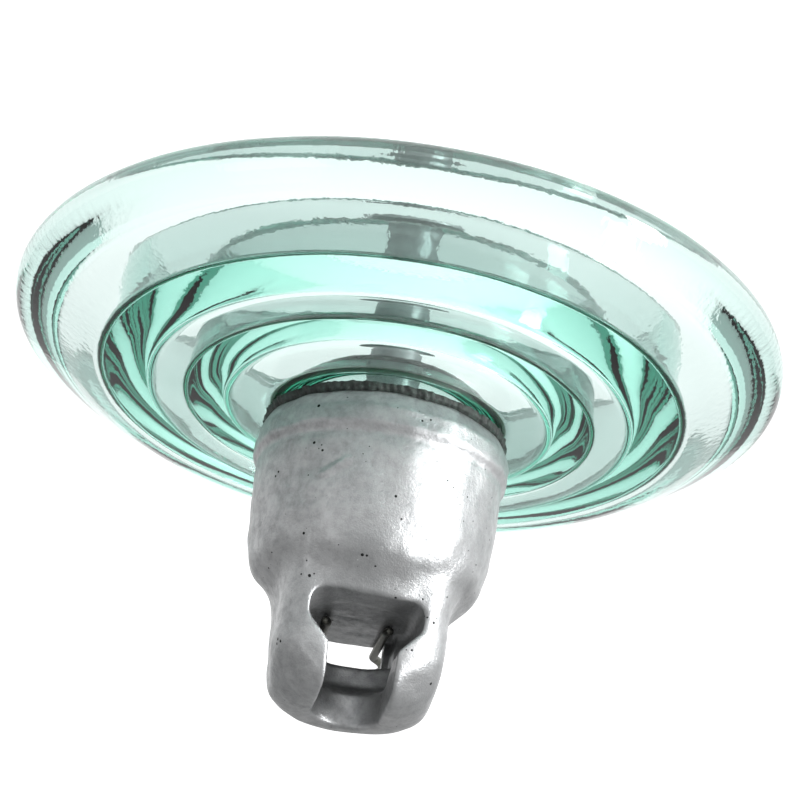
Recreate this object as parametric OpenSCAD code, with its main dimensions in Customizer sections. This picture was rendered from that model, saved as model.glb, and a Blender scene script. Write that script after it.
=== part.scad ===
// Cap-and-pin suspension insulator with a toughened glass disc.
// Millimetres, +Z up along the string axis, cap on top.
// The origin is the centre of the pin's ball, and the socket opens towards -Y.

/* [Coupling] */
// Distance from one ball centre to the next in a string
spacing = 146; // [140:1:150]
// Radius of the ball on the pin
ball_r = 16.65; // [16.2:0.05:16.8]
// Height of the ball from its underside to its bearing shoulder
ball_h = 13.4; // [12.6:0.1:13.6]
// Height of the straight band round the ball
ball_band = 5; // [4:0.5:6]
// Radius of the pin's shank
shank_r = 8.5; // [8.2:0.1:8.7]

/* [Glass disc] */
// Radius of the disc at its rim
disc_r = 127.5; // [124:0.5:130]
// Height of the rim's middle above the ball centre
rim_z = 39.5; // [37:0.5:42]
// Radius of the rim's round bead
rim_bead_r = 8; // [7:0.5:9]
// Height of the upper face above the rim's middle, beside the cap
crown_rise = 28; // [27:0.5:29]
// Height of the upper face above the rim's middle, over the outer rib
brow_rise = 22.5; // [21:0.5:24]
// Thickness of the disc between its ribs
skirt_t = 9; // [8:0.5:10]
// Outer radius of the outer rib at its root
rib_outer_r = 93; // [91:0.5:95]
// Outer radius of the inner rib at its root
rib_inner_r = 65.5; // [64:0.5:67]
// Width of the outer rib at its root
rib_outer_w = 13.5; // [12:0.5:14]
// Width of the inner rib at its root
rib_inner_w = 11.5; // [10:0.5:12]
// Depth of the outer rib's edge below the rim's middle
rib_outer_drop = 19; // [12:0.5:20]
// Depth of the inner rib's edge below the rim's middle
rib_inner_drop = 13; // [8:0.5:16]
// Draft of each rib side, as radial change from root to edge
rib_draft = 2; // [1.5:0.25:2.5]

/* [Glass head] */
// Radius of the head's widest part, inside the cap
head_r = 31; // [30:0.5:31.5]
// Radius of the head's waist
waist_r = 29; // [28:0.5:29.5]
// Height of the head's top above the rim's middle
head_top = 73; // [72:0.5:74]
// Radius of the pin hole at its mouth
pin_hole_r = 18; // [17:0.5:18.5]
// Height of the pin hole's roof above the rim's middle
pin_hole_top = 60; // [59:0.5:61]
// Height of the collar's edge above the rim's middle
collar_edge = 6; // [4:0.5:9]

/* [Cap] */
// Radius of the bead round the cap's mouth
cap_bead_r = 41.8; // [41.5:0.1:42.5]
// Radius of the cap's body above the bead
cap_body_r = 40.2; // [39.8:0.1:40.8]
// Radius of the body under its shoulder
cap_shoulder_r = 38; // [37.5:0.25:38.5]
// Thickness of the cap's wall
cap_wall = 4.5; // [4:0.25:5]
// Height of the cap's mouth above the rim's middle
cap_mouth = 30.3; // [30:0.1:31]
// Height of the crown above the rim's middle
cap_top = 124; // [123:0.5:125]
// Width of the socket head, side to side
socket_w = 54; // [53:0.5:55]
// Depth of the socket head, front to back
socket_d = 51; // [50:0.5:52]
// Radius of the waist between the socket head and the shoulder
socket_waist_r = 26.6; // [26:0.1:27]

/* [Socket] */
// Half width of the entry that the ball passes
entry_half_w = 17.3; // [17:0.1:17.6]
// Half width of the slot that the shank passes
slot_half_w = 10.4; // [10:0.1:10.4]
// Height of the entry's floor above the rim's middle
entry_floor = 92; // [91.5:0.25:92]
// Height where the entry has narrowed to the slot
entry_neck = 108; // [107.5:0.25:108.5]

/* [Locking clip] */
// Half width of the clip hole in the back wall
hole_half_w = 11.1; // [10.9:0.1:11.4]
// Height of the clip hole
hole_h = 10.2; // [9.6:0.1:10.4]
// Height of the clip hole's sill above the rim's middle
hole_sill = 92.2; // [92:0.1:92.6]
// Radius of the clip's wire
wire_r = 1.35; // [1.2:0.05:1.4]
// How far the clip is pulled out to let a ball in or out
clip_travel = 16; // [14:0.5:16]
// Distance from the root of the clip's legs to the middle of its eye
eye_rise = 12; // [12:0.5:13]

/* [Seals and cushions] */
// Thickness of the cushion on the glass head
cushion_t = 1.5; // [1:0.25:2]
// Depth of the bitumen seal under the cap's mouth
seal_t = 3; // [2.5:0.1:3.5]
// Outer radius of the bitumen seal under the cap's mouth
seal_r = 39.4; // [39:0.1:40]

/* [Hidden] */

ROUND_FN = 96;
FINE_FN = 48;
ARC_STEPS = 6;
GAP = 0.3;
FAR = 60;

ball_top = ball_h / 2;
head_top_z = rim_z + head_top;
hole_roof_z = rim_z + pin_hole_top;
mouth_z = rim_z + cap_mouth;
crown_z = rim_z + cap_top;
floor_z = rim_z + entry_floor;
neck_z = rim_z + entry_neck;
seat_r = ball_r + 0.75;
wire_z = rim_z + hole_sill + wire_r + GAP;
pulled_tip_y = 15.2;
tip_y = pulled_tip_y - clip_travel;
leg_x = hole_half_w - wire_r - GAP;
leg_end_y = socket_d / 2 + 3;
bend_r = 3;
splay = 1.4;
splay_long = 2.6;
eye_turn = acos(0.8);
eye_r = (leg_x + bend_r) * cos(eye_turn) + eye_rise * sin(eye_turn) - bend_r;
neck_long = eye_rise * cos(eye_turn) - (leg_x + bend_r) * sin(eye_turn);
eye_y = leg_end_y + eye_rise;

chamber_r = cap_shoulder_r - cap_wall + 1;
chamber_top_z = floor_z - 9.5;
pin_head_r = 13.5;
pin_head_z = hole_roof_z - 4;
cement_face_z = rim_z + 17;
skirt_under = crown_rise - skirt_t - 2;
neck_fillet = 6;
bead_c = [disc_r - rim_bead_r, rim_z];

// Turns a path of [r, z, corner radius] into points, with an arc at each corner that has a radius.
function unit(v) = v / norm(v);
function corner(a, p, b, radius) =
    let (u = unit(a - p), v = unit(b - p), half = acos(max(-1, min(1, u * v))) / 2,
         reach = min(radius / tan(half), norm(a - p) * 0.49, norm(b - p) * 0.49),
         r = reach * tan(half), c = p + unit(u + v) * r / sin(half),
         s = p + u * reach - c, e = p + v * reach - c,
         a0 = atan2(s[1], s[0]), turn = atan2(e[1], e[0]) - a0,
         sweep = turn > 180 ? turn - 360 : turn < -180 ? turn + 360 : turn)
    [for (i = [0:ARC_STEPS]) c + r * [cos(a0 + sweep * i / ARC_STEPS), sin(a0 + sweep * i / ARC_STEPS)]];
function flat(p) = [p[0], p[1]];
function arc(c, r, from, to, steps) =
    [for (i = [0:steps]) let (t = from + (to - from) * i / steps) [c[0] + r * cos(t), c[1] + r * sin(t), 0]];
function rounded(path) =
    let (n = len(path))
    [for (i = [0:n - 1])
        let (p = path[i], a = flat(path[(i + n - 1) % n]), b = flat(path[(i + 1) % n]))
        each (p[2] > 0 ? corner(a, flat(p), b, p[2]) : [flat(p)])];

module turned(path) {
    rotate_extrude($fn = ROUND_FN) polygon(rounded(path));
}

// Path of one rib, from its outer root to its inner root.
function rib(root_r, root_z, edge_z, w) = [
    [root_r, root_z, 2.5],
    [root_r - rib_draft, edge_z, w / 3],
    [root_r - w + rib_draft, edge_z, w / 3],
    [root_r - w, root_z + 1, 3]];

// Outer face of the glass head inside the cap, from the cap's mouth to the top.
head_path = [
    [0, head_top_z, 0],
    [head_r - 9, head_top_z, 5],
    [head_r, head_top_z - 9, 7],
    [waist_r, rim_z + 42, 8]];

// Pin hole in the glass, from its mouth to its roof.
hole_path = [
    [pin_hole_r, cement_face_z - 8, 2],
    [pin_hole_r - 0.5, rim_z + 32, 6],
    [pin_hole_r + 2, hole_roof_z - 8, 6],
    [pin_hole_r - 4, hole_roof_z, 4],
    [0, hole_roof_z, 0]];

// Upper face, from the cap's mouth to the rim, then the rim's bead and the turn into the underside.
brow = [98, rim_z + brow_rise];
to_bead = bead_c - brow;
lean = atan2(to_bead[1], to_bead[0]) + asin(rim_bead_r / norm(to_bead)) + 90;
top_path = concat(
    [[waist_r, rim_z + crown_rise + 0.5, neck_fillet],
     [60, rim_z + crown_rise - 1, 60],
     [brow[0], brow[1], 40]],
    arc(bead_c, rim_bead_r, lean, -115, 12),
    [[disc_r - 18, rim_z + 5, 10]]);

module glass_shell() {
    color([0.75, 0.92, 0.87, 0.5])
    turned(concat(
        head_path,
        top_path,
        rib(rib_outer_r, rim_z + brow_rise - skirt_t, rim_z - rib_outer_drop, rib_outer_w),
        rib(rib_inner_r, rim_z + skirt_under - 2, rim_z - rib_inner_drop, rib_inner_w),
        [[36, rim_z + skirt_under, 8],
         [30, rim_z + collar_edge, 4],
         [pin_hole_r + 3, rim_z + collar_edge, 3]],
        hole_path));
}

// Forged pin: ball, shank and a ringed head that the cement grips.
module pin() {
    color([0.45, 0.46, 0.46])
    turned([
        [0, -ball_top, 0],
        [10, -ball_top, 12],
        [ball_r, -ball_band / 2, 0],
        [ball_r, ball_band / 2, 0],
        [shank_r + 2.5, ball_top - 0.5, 4],
        [shank_r, ball_top + 4, 4],
        [shank_r, cement_face_z + 6, 0],
        [shank_r + 2.5, cement_face_z + 17, 2],
        [shank_r + 0.5, cement_face_z + 19, 1],
        [shank_r + 4, cement_face_z + 29, 2],
        [shank_r + 1.5, cement_face_z + 31, 1],
        [pin_head_r, pin_head_z - 2.5, 1.5],
        [pin_head_r - 2.5, pin_head_z, 1],
        [0, pin_head_z, 0]]);
}

// Inside of the cap: the chamber that holds the glass head, with two gripping rings.
chamber_path = [
    [0, chamber_top_z, 0],
    [20, chamber_top_z, 6],
    [chamber_r, chamber_top_z - 14, 5],
    [chamber_r + 1, rim_z + 55, 2],
    [chamber_r - 0.5, rim_z + 52, 2],
    [chamber_r + 2.5, rim_z + 44, 2],
    [chamber_r + 2.5, rim_z + 39, 2],
    [chamber_r + 0.5, rim_z + 35, 1.5],
    [chamber_r + 1, mouth_z - 1, 0],
    [0, mouth_z - 1, 0]];

module cap_body() {
    turned([
        [0, crown_z - 20, 0],
        [socket_waist_r - 3, crown_z - 20, 2],
        [socket_waist_r - 0.5, rim_z + 93, 9],
        [cap_shoulder_r - 1.5, rim_z + 80, 10],
        [cap_shoulder_r + 0.7, rim_z + 70, 8],
        [cap_body_r, rim_z + 47, 4],
        [cap_body_r, rim_z + 44.5, 2],
        [cap_bead_r, rim_z + 42, 2],
        [cap_bead_r, rim_z + 36, 3],
        [cap_bead_r - 2.6, mouth_z, 1.5],
        [chamber_r - 2, mouth_z, 0],
        [chamber_r - 2, rim_z + 70, 0],
        [0, rim_z + 70, 0]]);
}

// Socket head: a rounded block under a domed crown.
module socket_head() {
    corner_r = 17;
    base_z = rim_z + 74;
    intersection() {
        translate([0, 0, base_z])
            linear_extrude(crown_z - base_z)
                union() {
                    square([socket_w, socket_d - 2 * corner_r], center = true);
                    square([socket_w - 2 * corner_r, socket_d], center = true);
                    for (x = [-1, 1], y = [-1, 1])
                        translate([x * (socket_w / 2 - corner_r), y * (socket_d / 2 - corner_r)])
                            circle(corner_r, $fn = ROUND_FN);
                }
        turned([
            [0, crown_z, 0],
            [socket_w / 2 - 4, crown_z, 12],
            [socket_w / 2 + 1, crown_z - 14, 14],
            [socket_waist_r, rim_z + 93, 16],
            [socket_w / 2 + 3, base_z + 8, 6],
            [socket_w / 2 + 3, base_z, 0],
            [0, base_z, 0]]);
    }
}

// Way in for the next unit's ball, as seen from the front.
module entry_cut() {
    chamfer = 2.8;
    rotate([90, 0, 0])
        linear_extrude(FAR)
            polygon([
                [-entry_half_w + chamfer, floor_z], [entry_half_w - chamfer, floor_z],
                [entry_half_w, floor_z + chamfer], [entry_half_w, neck_z - 7],
                [slot_half_w, neck_z], [-slot_half_w, neck_z],
                [-entry_half_w, neck_z - 7], [-entry_half_w, floor_z + chamfer]]);
}

// Round pocket with the bearing seat for the ball, centred one spacing above this unit's own ball.
module pocket_cut() {
    turned([
        [0, floor_z, 0],
        [seat_r - 2.4, floor_z, 0],
        [seat_r, floor_z + 2.8, 0],
        [seat_r, spacing + ball_band / 2 + 0.3, 0],
        [slot_half_w - 0.6, spacing + ball_top + 0.4, 0],
        [0, spacing + ball_top + 0.4, 0]]);
}

module slot_cut() {
    translate([0, 0, floor_z + 6]) {
        translate([-slot_half_w, -FAR, 0]) cube([2 * slot_half_w, FAR, FAR]);
        cylinder(h = FAR, r = slot_half_w, $fn = ROUND_FN);
    }
}

// Hole through the back wall for the locking clip, flared on the inside for the clip's tips.
module clip_hole_cut() {
    flare = 2.4;
    translate([0, 0, rim_z + hole_sill])
        linear_extrude(hole_h)
            polygon([
                [-hole_half_w - flare, 4], [hole_half_w + flare, 4],
                [hole_half_w + flare, pulled_tip_y + 0.4], [hole_half_w, pulled_tip_y + 3],
                [hole_half_w, FAR], [-hole_half_w, FAR],
                [-hole_half_w, pulled_tip_y + 3], [-hole_half_w - flare, pulled_tip_y + 0.4]]);
}

module cap() {
    color([0.66, 0.66, 0.66])
    difference() {
        union() {
            cap_body();
            socket_head();
        }
        turned(chamber_path);
        entry_cut();
        pocket_cut();
        slot_cut();
        clip_hole_cut();
    }
}

// Neat cement between the cap and the glass head.
module cap_cement() {
    color([0.62, 0.6, 0.56])
    difference() {
        turned(chamber_path);
        turned(concat(head_path, top_path, [[0, rim_z, 0]]));
        translate([0, 0, head_top_z]) cylinder(h = cushion_t, r = head_r - 12, $fn = ROUND_FN);
        translate([0, 0, mouth_z - 9]) cylinder(h = 9, r = FAR, $fn = ROUND_FN);
    }
}

// Cement between the glass and the pin's head, with its lower face left bare round the shank.
module pin_cement() {
    color([0.62, 0.6, 0.56])
    difference() {
        turned(concat([[0, hole_path[0][1], 0]], hole_path));
        translate([0, 0, cement_face_z - 12]) cylinder(h = 12, r = FAR, $fn = ROUND_FN);
        pin();
        translate([0, 0, pin_head_z]) cylinder(h = cushion_t, r = pin_head_r - 2.5, $fn = ROUND_FN);
    }
}

// Cork disc that keeps the glass head off the cap's roof.
module head_cushion() {
    color([0.55, 0.42, 0.28])
    translate([0, 0, head_top_z]) cylinder(h = cushion_t, r = head_r - 12, $fn = ROUND_FN);
}

// Felt disc on top of the pin's head.
module pin_cushion() {
    color([0.55, 0.42, 0.28])
    translate([0, 0, pin_head_z]) cylinder(h = cushion_t, r = pin_head_r - 2.5, $fn = ROUND_FN);
}

module ring(inner_r, outer_r, z, h) {
    translate([0, 0, z])
        difference() {
            cylinder(h = h, r = outer_r, $fn = ROUND_FN);
            translate([0, 0, -1]) cylinder(h = h + 2, r = inner_r, $fn = ROUND_FN);
        }
}

// Bitumen squeezed out between the cap's mouth and the glass.
module mouth_seal() {
    color([0.13, 0.16, 0.13])
    difference() {
        ring(waist_r, seal_r, mouth_z - seal_t, seal_t);
        turned(concat(head_path, top_path, [[0, rim_z, 0]]));
    }
}

// Bitumen painted over the lower cement face, round the shank.
module pin_seal() {
    color([0.13, 0.16, 0.13])
    ring(shank_r, pin_hole_r - 0.2, cement_face_z - seal_t, seal_t);
}

// Bent length of wire about a centre in the clip's plane.
module wire_bend(centre, r, from, sweep) {
    translate([centre[0], centre[1], wire_z])
        rotate([0, 0, from])
            rotate_extrude(angle = sweep, $fn = ROUND_FN)
                translate([r, 0]) circle(wire_r, $fn = FINE_FN);
}

// Straight length of wire from a point in the clip's plane, heading along a bearing.
module wire_bar(start, bearing, long, r = wire_r, back = 0) {
    translate([start[0], start[1], wire_z])
        rotate([0, 0, bearing])
            rotate([0, 90, 0])
                translate([0, 0, -back]) cylinder(h = long + back, r = r, $fn = FINE_FN);
}

// Thickening where the wire turns.
module collar(p, bearing) {
    wire_bar(p, bearing, 0.6, wire_r + 0.15, 0.6);
}

// Keyhole-shaped spring clip, pushed home: two legs under the ball's place and an eye outside.
module locking_clip() {
    root_long = leg_end_y - tip_y - splay_long;
    out = [leg_x + bend_r * (1 - cos(eye_turn)), leg_end_y + bend_r * sin(eye_turn)];
    far = out + neck_long * [sin(eye_turn), cos(eye_turn)];
    color([0.45, 0.45, 0.43])
    union() {
        for (side = [-1, 1]) {
            heading = 90 - side * eye_turn;
            wire_bar([side * (leg_x + splay), tip_y], 90 + side * atan2(splay, splay_long),
                     norm([splay, splay_long]));
            collar([side * leg_x, tip_y + splay_long], 90);
            wire_bar([side * leg_x, tip_y + splay_long], 90, root_long);
            collar([side * leg_x, leg_end_y], 90);
            wire_bend([side * (leg_x + bend_r), leg_end_y], bend_r, side > 0 ? 180 - eye_turn : 0, eye_turn);
            collar([side * out[0], out[1]], heading);
            wire_bar([side * out[0], out[1]], heading, neck_long);
            collar([side * far[0], far[1]], heading);
        }
        wire_bend([0, eye_y], eye_r, -eye_turn, 180 + 2 * eye_turn);
    }
}

cap();
glass_shell();
pin();
cap_cement();
pin_cement();
head_cushion();
pin_cushion();
mouth_seal();
pin_seal();
locking_clip();
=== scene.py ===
"""The looks of a cap-and-pin suspension insulator with a toughened glass disc.

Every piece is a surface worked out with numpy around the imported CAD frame. Turned pieces are a profile
carried round the string axis, the clip is a circle carried along a path, and the cast cap is the zero
surface of a distance field. Lengths are in millimetres until a mesh is made, and in metres from there on.
"""

import logging
import math
from dataclasses import dataclass, field
from enum import Enum
from typing import Callable, Optional, Sequence

import bpy
import numpy as np
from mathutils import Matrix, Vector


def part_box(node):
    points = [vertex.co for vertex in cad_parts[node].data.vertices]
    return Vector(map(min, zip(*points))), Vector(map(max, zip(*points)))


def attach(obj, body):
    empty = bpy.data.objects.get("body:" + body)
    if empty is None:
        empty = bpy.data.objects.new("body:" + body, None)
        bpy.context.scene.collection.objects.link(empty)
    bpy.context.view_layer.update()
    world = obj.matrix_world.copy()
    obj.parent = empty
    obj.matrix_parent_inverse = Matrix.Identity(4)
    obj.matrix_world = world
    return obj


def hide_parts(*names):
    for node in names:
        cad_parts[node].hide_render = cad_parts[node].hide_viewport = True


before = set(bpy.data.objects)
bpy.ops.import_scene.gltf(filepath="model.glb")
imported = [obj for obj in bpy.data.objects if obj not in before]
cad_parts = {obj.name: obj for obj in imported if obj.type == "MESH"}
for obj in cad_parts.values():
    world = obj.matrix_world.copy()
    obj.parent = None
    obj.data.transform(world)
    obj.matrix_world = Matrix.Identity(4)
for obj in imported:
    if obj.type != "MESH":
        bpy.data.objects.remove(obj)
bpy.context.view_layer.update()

import openvdb
from mathutils import Matrix

LOG = logging.getLogger("insulator")
MM = 0.001
ROOT = "insulator"
CLIP = "clip"

HEAD_RISE = 73.0

Array = np.ndarray
Corner = tuple[float, float, float]
Colour = tuple[float, float, float, float]
Socket = bpy.types.NodeSocket


# ---------------------------------------------------------------------------------------------------
# Colours and shader nodes
# ---------------------------------------------------------------------------------------------------
def linear(hex_colour: str) -> Colour:
    """Turns an sRGB hex colour into the linear colour that shaders take.

    Args:
        hex_colour: six hex digits, such as "a0a3a2".

    Returns:
        Linear red, green and blue, and an alpha of 1.
    """
    parts = [int(hex_colour[i:i + 2], 16) / 255 for i in (0, 2, 4)]
    red, green, blue = [p / 12.92 if p <= 0.04045 else ((p + 0.055) / 1.055) ** 2.4 for p in parts]
    return red, green, blue, 1.0


class Recipe:
    """A material being put together, node by node."""

    def __init__(self, name: str) -> None:
        """Starts an empty material of that name."""
        self.material = bpy.data.materials.new(name)
        self.material.use_nodes = True
        self.tree = self.material.node_tree
        self.tree.nodes.clear()
        self.output = self.add("ShaderNodeOutputMaterial")

    def add(self, kind: str, inputs: Optional[dict] = None, **settings) -> bpy.types.Node:
        """Adds a node with its settings, and sets or links its inputs.

        Args:
            kind: the node's type name.
            inputs: input name or number to a value, or to the output socket that feeds it.
            **settings: attributes of the node, such as operation="MULTIPLY".

        Returns:
            The new node.
        """
        node = self.tree.nodes.new(kind)
        for name, value in settings.items():
            setattr(node, name, value)
        for name, value in (inputs or {}).items():
            if isinstance(value, Socket):
                self.tree.links.new(value, node.inputs[name])
            else:
                node.inputs[name].default_value = value
        return node

    def place(self) -> Socket:
        """Place on the piece, in metres from the frame's origin."""
        return self.add("ShaderNodeTexCoord").outputs["Object"]

    def noise(self, place: Socket, size_mm: float, detail: float, roughness: float = 0.5) -> Socket:
        """Adds a noise.

        Args:
            place: the socket that gives the place.
            size_mm: about how far apart its largest lumps are.
            detail: how many finer layers it has.
            roughness: how strong each finer layer is beside the last.

        Returns:
            The noise, which lies about 0.5.
        """
        return self.add("ShaderNodeTexNoise", {"Vector": place, "Scale": 1 / (size_mm * MM), "Detail": detail,
                                               "Roughness": roughness}).outputs[0]

    def spread(self, value: Socket, source: tuple[float, float], target: tuple[float, float],
               **settings) -> Socket:
        """Maps a value from one range to another, and holds it at both ends.

        Args:
            value: the socket that gives the value.
            source: the range that it has.
            target: what the ends of that range become.
            **settings: attributes of the node, such as interpolation_type.

        Returns:
            The mapped value.
        """
        node = self.add("ShaderNodeMapRange", {
            "Value": value, "From Min": source[0], "From Max": source[1], "To Min": target[0],
            "To Max": target[1]}, **settings)
        return node.outputs[0]

    def maths(self, operation: str, first: Socket, second: Socket | float) -> Socket:
        """Adds one step of arithmetic."""
        return self.add("ShaderNodeMath", {0: first, 1: second}, operation=operation).outputs[0]

    def mix(self, factor: Socket | float, first: Socket, second: Socket | Colour,
            kind: str = "MIX") -> Socket:
        """Mixes two colours.

        Args:
            factor: how much the second colour counts.
            first: the colour underneath.
            second: the colour on top.
            kind: Blender's name of the blend.

        Returns:
            The mixed colour.
        """
        node = self.add("ShaderNodeMix", {"Factor": factor, "A": first, "B": second}, data_type="RGBA",
                        blend_type=kind)
        return node.outputs["Result"]

    def relief(self, height: Socket, strength: float, depth_mm: float) -> Socket:
        """Turns a height into a shading normal, with lumps of about that depth."""
        return self.add("ShaderNodeBump", {"Height": height, "Strength": strength,
                                           "Distance": depth_mm * MM}).outputs[0]

    def close(self, inputs: dict) -> bpy.types.Material:
        """Ends the recipe with a Principled surface.

        Args:
            inputs: the surface's inputs, as add() takes them.

        Returns:
            The finished material.
        """
        surface = self.add("ShaderNodeBsdfPrincipled", inputs)
        self.tree.links.new(surface.outputs[0], self.output.inputs["Surface"])
        return self.material

    def ramp(self, factor: Socket, stops: Sequence[tuple[float, Colour]]) -> Socket:
        """Maps a factor through colour stops.

        Args:
            factor: the socket that drives the ramp.
            stops: position and linear colour of each stop, in rising order.

        Returns:
            The ramp's colour output.
        """
        node = self.add("ShaderNodeValToRGB", {"Fac": factor})
        elements = node.color_ramp.elements
        while len(elements) < len(stops):
            elements.new(0.5)
        for element, (position, colour) in zip(elements, stops):
            element.position = position
            element.color = colour
        return node.outputs["Color"]


def grey(value: float) -> Colour:
    """A neutral linear colour of that value."""
    return value, value, value, 1.0


# ---------------------------------------------------------------------------------------------------
# Finishes
# ---------------------------------------------------------------------------------------------------
@dataclass(frozen=True)
class ToughenedGlass:
    """Thermally toughened soda-lime glass, pressed in an iron mould and quenched with air jets.

    It is nearly clear through a wall and green through a long path, because of the iron in the sand, so
    the colour is an absorption in the volume. A slight haze at the skin takes a little from every ray.
    The mould leaves a faint ripple, strongest near the rim.
    """

    tint: str = "08ecd2"
    haze: str = "ebe8e9"
    absorption_per_m: float = 17.0
    ior: float = 1.52
    roughness: float = 0.015
    ripple_mm: float = 2.2
    ripple_depth_mm: float = 0.6
    ripple_radii: tuple[float, float] = (0.085, 0.118)

    def make(self) -> bpy.types.Material:
        """Builds the material."""
        recipe = Recipe("toughened_soda_lime_glass")
        place = recipe.place()
        ripple = recipe.noise(place, self.ripple_mm, 2.0, 0.45)
        split = recipe.add("ShaderNodeSeparateXYZ", {"Vector": place})
        flat = recipe.add("ShaderNodeCombineXYZ", {"X": split.outputs["X"], "Y": split.outputs["Y"]})
        radius = recipe.add("ShaderNodeVectorMath", {0: flat.outputs[0]}, operation="LENGTH")
        near_rim = recipe.spread(radius.outputs["Value"], self.ripple_radii, (0.15, 1.0))
        height = recipe.maths("MULTIPLY", ripple, near_rim)
        body = recipe.add("ShaderNodeVolumeAbsorption", {"Color": linear(self.tint),
                                                         "Density": self.absorption_per_m})
        recipe.tree.links.new(body.outputs[0], recipe.output.inputs["Volume"])
        return recipe.close({"Base Color": linear(self.haze), "Roughness": self.roughness, "IOR": self.ior,
                             "Transmission Weight": 1.0,
                             "Normal": recipe.relief(height, 0.1, self.ripple_depth_mm)})


@dataclass(frozen=True)
class GalvanisedIron:
    """Hot-dip galvanised ductile iron or forged steel.

    The molten zinc freezes to a satin grey skin over the sand-cast grain. It is duller in broad clouds and
    brighter where it ran thin over ridges, with dark pinholes and dark grey storage stains.
    """

    name: str
    zinc: str = "a4a5a6"
    dull: str = "8c8e8f"
    stain: str = "55575a"
    pit: str = "1d1e1e"
    roughness: float = 0.4
    metallic: float = 0.8
    grain_mm: float = 0.55
    skin_mm: float = 3.2
    soil_mm: float = 7.0
    cloud_mm: float = 22.0
    pit_mm: float = 2.6
    pit_patch_mm: float = 9.0
    bump: float = 0.55
    bump_mm: float = 0.4

    def make(self) -> bpy.types.Material:
        """Builds the material."""
        recipe = Recipe(self.name)
        place = recipe.place()
        cloud = recipe.noise(place, self.cloud_mm, 6.0, 0.62)
        grain = recipe.noise(place, self.grain_mm, 3.0, 0.6)
        skin = recipe.noise(place, self.skin_mm, 5.0, 0.7)
        cells = recipe.add("ShaderNodeTexVoronoi", {"Vector": place, "Scale": 1 / (self.pit_mm * MM),
                                                    "Randomness": 1.0})
        size = recipe.spread(recipe.noise(place, self.pit_patch_mm, 1.0), (0.5, 0.72), (0.0, 0.2))
        hole = recipe.maths("LESS_THAN", cells.outputs["Distance"], size)
        tone = recipe.ramp(cloud, [(0.30, linear(self.dull)), (0.62, linear(self.zinc))])
        worn = recipe.ramp(skin, [(0.32, grey(0.8)), (0.55, grey(1.0)), (0.75, grey(1.1))])
        soil = recipe.spread(recipe.noise(place, self.soil_mm, 8.0, 0.75), (0.64, 0.8), (0.0, 0.6))
        stained = recipe.mix(soil, recipe.mix(1.0, tone, worn, "MULTIPLY"), linear(self.stain))
        rough = recipe.spread(skin, (0.3, 0.7), (self.roughness + 0.12, self.roughness - 0.1))
        lumps = recipe.maths("ADD", recipe.maths("MULTIPLY", grain, 0.45), skin)
        sunk = recipe.maths("SUBTRACT", lumps, hole)
        return recipe.close({"Base Color": recipe.mix(hole, stained, linear(self.pit)),
                             "Metallic": self.metallic, "Roughness": rough,
                             "Normal": recipe.relief(sunk, self.bump, self.bump_mm)})


@dataclass(frozen=True)
class Granular:
    """A dull, grainy solid: cured cement, pressed cork or brushed bitumen."""

    name: str
    light: str
    dark: str
    grain_mm: float
    roughness: float
    bump: float
    bump_mm: float = 0.3
    contrast: float = 0.12

    def make(self) -> bpy.types.Material:
        """Builds the material."""
        recipe = Recipe(self.name)
        grain = recipe.noise(recipe.place(), self.grain_mm, 6.0, 0.65)
        tone = recipe.ramp(grain, [(0.5 - self.contrast, linear(self.dark)),
                                   (0.5 + self.contrast, linear(self.light))])
        rough = recipe.spread(grain, (0.3, 0.7), (self.roughness - 0.08, self.roughness + 0.08))
        return recipe.close({"Base Color": tone, "Roughness": rough,
                             "Normal": recipe.relief(grain, self.bump, self.bump_mm)})


@dataclass(frozen=True)
class DrawnWire:
    """Cold-drawn stainless spring wire, dulled by handling and store grime, with fine scratches."""

    steel: str = "77776f"
    grime: str = "4c4c48"
    roughness: float = 0.42
    grime_mm: float = 2.5
    scratch_mm: float = 0.35
    scratch_depth_mm: float = 0.1

    def make(self) -> bpy.types.Material:
        """Builds the material."""
        recipe = Recipe("drawn_stainless_spring_wire")
        place = recipe.place()
        cloud = recipe.noise(place, self.grime_mm, 5.0)
        tone = recipe.ramp(cloud, [(0.3, linear(self.grime)), (0.65, linear(self.steel))])
        rough = recipe.spread(cloud, (0.3, 0.7), (self.roughness - 0.08, self.roughness + 0.12))
        scratch = recipe.noise(place, self.scratch_mm, 2.0)
        return recipe.close({"Base Color": tone, "Metallic": 1.0, "Roughness": rough,
                             "Normal": recipe.relief(scratch, 0.15, self.scratch_depth_mm)})


class Finish(Enum):
    """The finishes that the pieces wear."""

    GLASS = ToughenedGlass()
    CAST_IRON = GalvanisedIron("hot_dip_galvanised_ductile_iron")
    FORGED_STEEL = GalvanisedIron("hot_dip_galvanised_forged_steel", zinc="a0a2a2", dull="7f8283",
                                  metallic=0.75, pit_mm=5.0, bump=0.3)
    CEMENT = Granular("cured_alumina_cement", "a49f92", "7c776c", 1.6, 0.88, 0.5)
    CORK = Granular("pressed_cork", "a98356", "5c4026", 2.4, 0.85, 0.6)
    BITUMEN = Granular("brushed_bitumen_paint", "3a4540", "0d1210", 1.8, 0.55, 0.9, 0.5, 0.16)
    WIRE = DrawnWire()

    def material(self) -> bpy.types.Material:
        """The finish's material, built once and shared after that."""
        made = _made_materials.get(self.name)
        if made is None:
            made = _made_materials[self.name] = self.value.make()
        return made


_made_materials: dict[str, bpy.types.Material] = {}


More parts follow.
